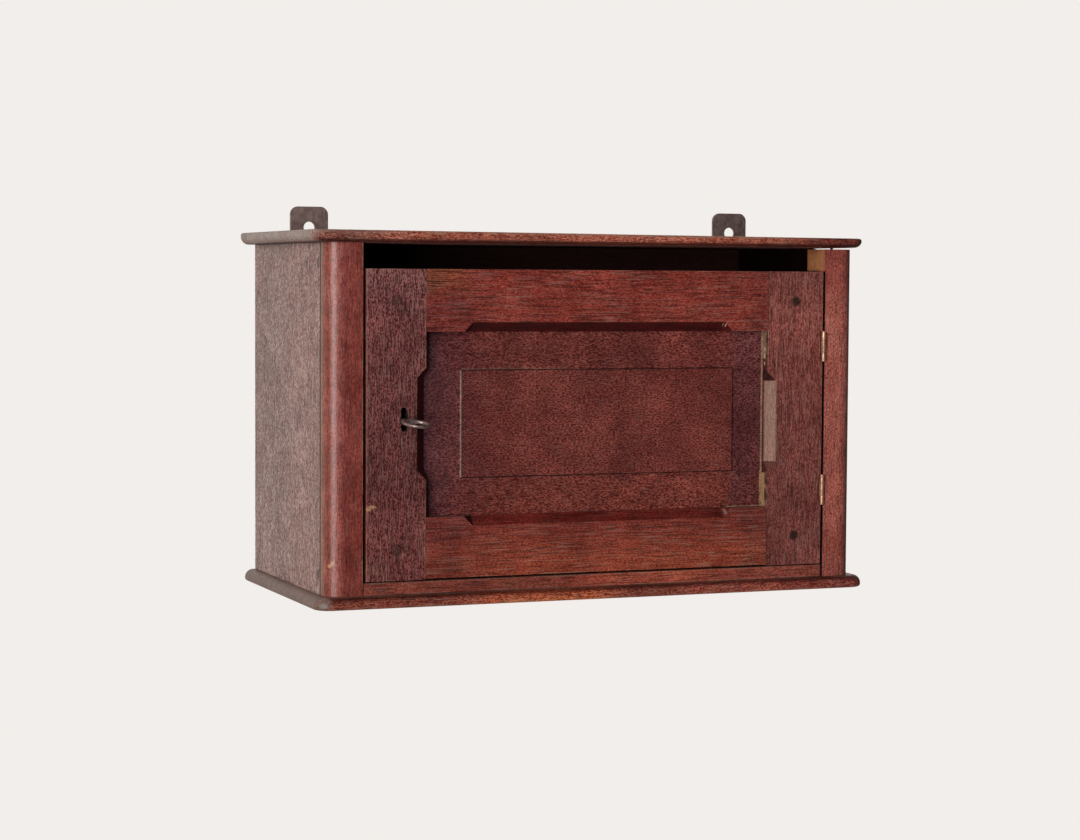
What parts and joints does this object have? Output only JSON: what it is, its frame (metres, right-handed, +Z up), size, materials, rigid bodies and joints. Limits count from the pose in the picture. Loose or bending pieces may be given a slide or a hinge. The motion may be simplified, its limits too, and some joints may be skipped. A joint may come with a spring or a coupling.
{
  "type": "wall cabinet",
  "caption": "Small wall cabinet of red-stained oak: corner posts, inset raised-panel door on brass butts, rim lock with key, moulded top and bottom boards, iron hanging plates.",
  "frame": {"origin": "on the wall plane, on the case's centre line, half way up between the outer faces of its top and bottom boards", "axes": "+Z up, +Y towards the wall, +X to the right of someone facing the door"},
  "size_m": [0.4925, 0.2548, 0.3235],
  "materials": {
    "stained_oak": "old red-brown stain, satin, worn on the edges",
    "plain_oak": "dry unfinished oak",
    "iron": "dull browned iron",
    "brass": "tarnished brass"
  },
  "bodies": {
    "carcass": {"top_board": "stained_oak", "bottom_board": "stained_oak", "left_corner_post": "stained_oak", "right_corner_post": "stained_oak", "left_side_panel": "stained_oak", "right_side_panel": "stained_oak", "upper_back_board": "plain_oak", "lower_back_board": "plain_oak", "front_bottom_rail": "stained_oak", "door_stop": "plain_oak", "left_hanger_plate": "iron", "right_hanger_plate": "iron", "hanger_screws": "iron", "top_board_nails": "iron", "bottom_board_nails": "iron", "side_panel_nails": "iron", "back_board_nails": "iron", "door_stop_nails": "iron", "upper_hinge_post_leaf": "brass", "lower_hinge_post_leaf": "brass", "hinge_post_screws": "brass"},
    "door": {"door_left_stile": "stained_oak", "door_right_stile": "stained_oak", "door_top_rail": "stained_oak", "door_bottom_rail": "stained_oak", "door_panel": "stained_oak", "door_pegs": "stained_oak", "upper_hinge_door_leaf": "brass", "lower_hinge_door_leaf": "brass", "upper_hinge_pin": "brass", "lower_hinge_pin": "brass", "hinge_door_screws": "brass", "lock_plate": "iron", "lock_case": "iron", "lock_drill_pin": "iron", "lock_guide_stud": "iron", "lock_screws": "iron"},
    "bolt": {"lock_bolt": "iron", "bolt_spring": "iron"},
    "key": {"key": "iron"}
  },
  "joints": [
    {"name": "door_swing", "type": "hinge", "parent": "carcass", "child": "door", "pos_m": [0.205, -0.2106, 0], "axis": [0, 0, 1], "range_deg": [0, 180]},
    {"name": "key_turn", "type": "hinge", "parent": "door", "child": "key", "pos_m": [-0.1705, -0.21, -0.002], "axis": [0, -1, 0], "range_deg": [0, 180]},
    {"name": "bolt_throw", "type": "slide", "parent": "door", "child": "bolt", "axis": [-1, 0, 0], "range_m": [0, 0.009]}
  ],
  "couplings": [
    {"joint": "key_turn", "follows": "bolt_throw", "rad_per_m": 349}
  ]
}
